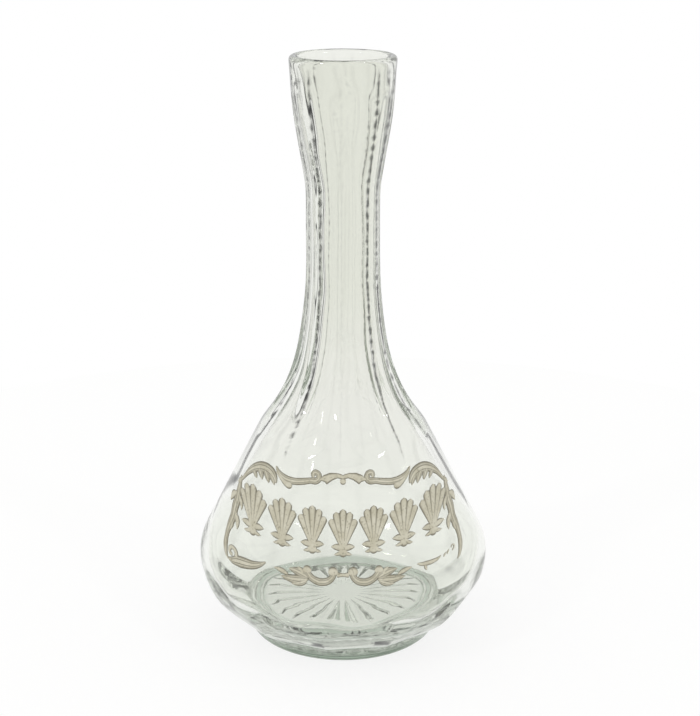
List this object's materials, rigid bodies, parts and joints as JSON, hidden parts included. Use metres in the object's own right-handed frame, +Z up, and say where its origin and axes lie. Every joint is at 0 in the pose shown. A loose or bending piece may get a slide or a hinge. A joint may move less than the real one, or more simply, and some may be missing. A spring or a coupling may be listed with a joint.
{
  "type": "bitters bottle",
  "caption": "Clear glass bar bottle with a long panelled neck, conical body, rayed base and a fired scroll frame label.",
  "frame": {"origin": "centre of the foot ring, on the surface the bottle stands on", "axes": "+Z up along the bottle's axis to the mouth, -Y out of the middle of the label, +X to the label's right"},
  "size_m": [0.1058, 0.1058, 0.21],
  "materials": {
    "clear_glass": "polished",
    "fired_enamel": "satin"
  },
  "bodies": {
    "root": {"glass_body": "clear_glass", "crest": "fired_enamel", "top_scroll_left": "fired_enamel", "top_scroll_right": "fired_enamel", "corner_leaf_left": "fired_enamel", "corner_leaf_right": "fired_enamel", "side_scroll_left": "fired_enamel", "side_scroll_right": "fired_enamel", "bottom_horn_left": "fired_enamel", "bottom_horn_right": "fired_enamel", "bottom_leaf_left": "fired_enamel", "bottom_leaf_right": "fired_enamel", "bottom_scroll_left": "fired_enamel", "bottom_scroll_right": "fired_enamel", "bottom_knot": "fired_enamel", "shell_1": "fired_enamel", "shell_2": "fired_enamel", "shell_3": "fired_enamel", "shell_4": "fired_enamel", "shell_5": "fired_enamel", "shell_6": "fired_enamel", "shell_7": "fired_enamel"}
  },
  "joints": []
}
